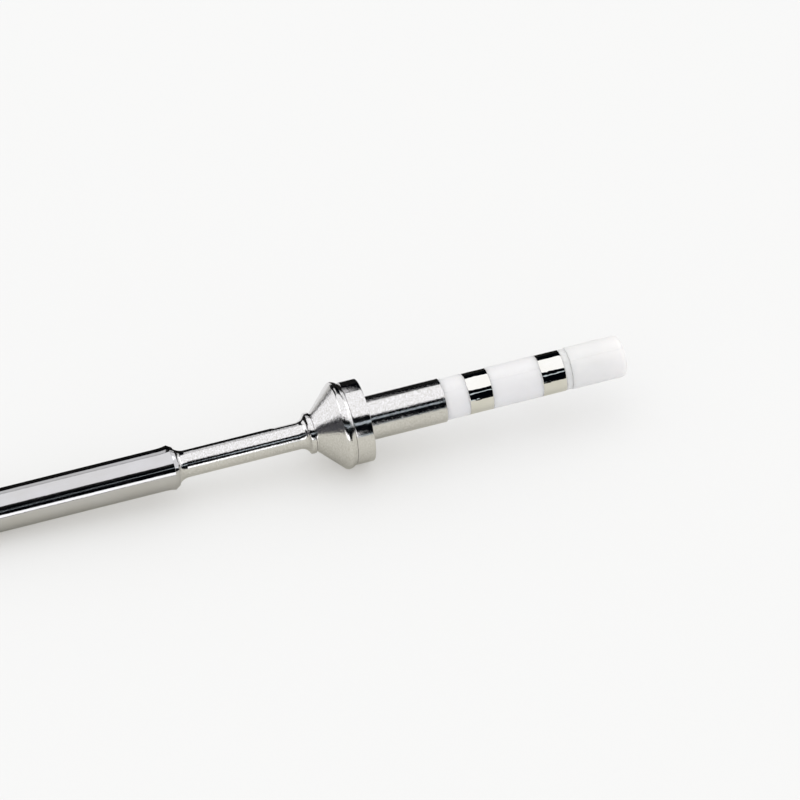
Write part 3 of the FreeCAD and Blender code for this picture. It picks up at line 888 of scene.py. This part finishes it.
def add_room(room, fill, pale):
    """Dark room for mirrored light, a soft fill for matt surfaces and a pale background."""
    world = bpy.data.worlds.new("studio_room")
    world.use_nodes = True
    world.cycles.sampling_method = "NONE"
    nodes, links = world.node_tree.nodes, world.node_tree.links
    nodes.clear()
    rays = nodes.new("ShaderNodeLightPath")
    sides = []
    tones = ((0.35, 0.6, 1.0), (1.0, 0.99, 0.95), (1.0, 1.0, 0.995))
    for strength, tone in zip((room, fill, pale), tones):
        side = nodes.new("ShaderNodeBackground")
        side.inputs["Color"].default_value = (*tone, 1.0)
        side.inputs["Strength"].default_value = strength
        sides.append(side.outputs["Background"])
    unseen = nodes.new("ShaderNodeMixShader")
    links.new(rays.outputs["Is Diffuse Ray"], unseen.inputs["Fac"])
    links.new(sides[0], unseen.inputs[1])
    links.new(sides[1], unseen.inputs[2])
    shown = nodes.new("ShaderNodeMixShader")
    links.new(rays.outputs["Is Camera Ray"], shown.inputs["Fac"])
    links.new(unseen.outputs["Shader"], shown.inputs[1])
    links.new(sides[2], shown.inputs[2])
    output = nodes.new("ShaderNodeOutputWorld")
    links.new(shown.outputs["Shader"], output.inputs["Surface"])
    bpy.context.scene.world = world


def add_camera(studio):
    """Camera with a long lens, aimed a little above a point on the shank."""
    data = bpy.data.cameras.new("studio_camera")
    data.lens = studio.lens
    data.clip_start = 0.01
    data.clip_end = 100.0
    camera = bpy.data.objects.new("studio_camera", data)
    bpy.context.scene.collection.objects.link(camera)
    level = math.cos(studio.elevation)
    sideways, away = math.sin(studio.azimuth), -math.cos(studio.azimuth)
    back = Vector((sideways * level, away * level, math.sin(studio.elevation)))
    turn = (-back).to_track_quat("-Z", "Y")
    aim = AXIS @ Vector((AIM_ALONG, 0, 0)) + turn @ Vector((0, AIM_ABOVE, 0))
    camera.rotation_mode = "QUATERNION"
    camera.rotation_quaternion = turn
    camera.location = aim + back * (studio.view_width * studio.lens / data.sensor_width)
    bpy.context.scene.camera = camera


class IRONTIP_OT_add_studio(Operator):
    """Lay the pale floor and set up the lights and the camera"""

    bl_idname = "irontip.add_studio"
    bl_label = "Add Studio"

    def execute(self, context):
        tip = context.scene.iron_tip
        studio = tip.studio
        add_floor(tip.finish.floor, studio.glow)
        for light in SOFTLIGHTS:
            add_softlight(light, getattr(studio, light.setting) * light.share)
        for name, tone, low, high in CARDS:
            add_card(name, tone, low, high)
        # Painted shade: a darker, warm card that the metal mirrors instead of the floor in front.
        add_card("mirrored_shade_card", tip.finish.warm, *MIRRORED_SHADE_CARD)
        add_room(studio.room, studio.fill, studio.background)
        add_camera(studio)
        context.scene.view_settings.view_transform = "Standard"
        return {"FINISHED"}


class IRONTIP_PT_panel(Panel):
    """Lists the settings, and the steps that build the tip and its studio"""

    bl_idname = "IRONTIP_PT_panel"
    bl_label = "Iron Tip"
    bl_space_type = "VIEW_3D"
    bl_region_type = "UI"
    bl_category = "Iron Tip"

    def draw(self, context):
        tip = context.scene.iron_tip
        self.layout.prop(tip, "steps")
        for group in (tip.bit, tip.neck, tip.flange, tip.plug, tip.finish, tip.studio):
            box = self.layout.box()
            box.label(text=type(group).__doc__)
            for setting in type(group).__annotations__:
                box.prop(group, setting)
        for operator in OPERATORS:
            self.layout.operator(operator.bl_idname)


OPERATORS = (
    IRONTIP_OT_add_bit,
    IRONTIP_OT_add_neck,
    IRONTIP_OT_add_flange,
    IRONTIP_OT_add_shank,
    IRONTIP_OT_add_insulators,
    IRONTIP_OT_add_contacts,
    IRONTIP_OT_add_end_cap,
    IRONTIP_OT_finish_inside,
    IRONTIP_OT_add_studio,
)
GROUPS = (
    BitSizes,
    NeckSizes,
    FlangeSizes,
    PlugSizes,
    FinishColours,
    StudioSettings,
    TipSettings,
)


def register():
    for cls in (*GROUPS, *OPERATORS, IRONTIP_PT_panel):
        bpy.utils.register_class(cls)
    bpy.types.Scene.iron_tip = PointerProperty(type=TipSettings)


def unregister():
    del bpy.types.Scene.iron_tip
    for cls in reversed((*GROUPS, *OPERATORS, IRONTIP_PT_panel)):
        bpy.utils.unregister_class(cls)


def main():
    """Registers the add-on, then builds the pieces and the studio in order."""
    register()
    for operator in OPERATORS:
        group, name = operator.bl_idname.split(".")
        getattr(getattr(bpy.ops, group), name)()


if __name__ == "__main__":
    main()
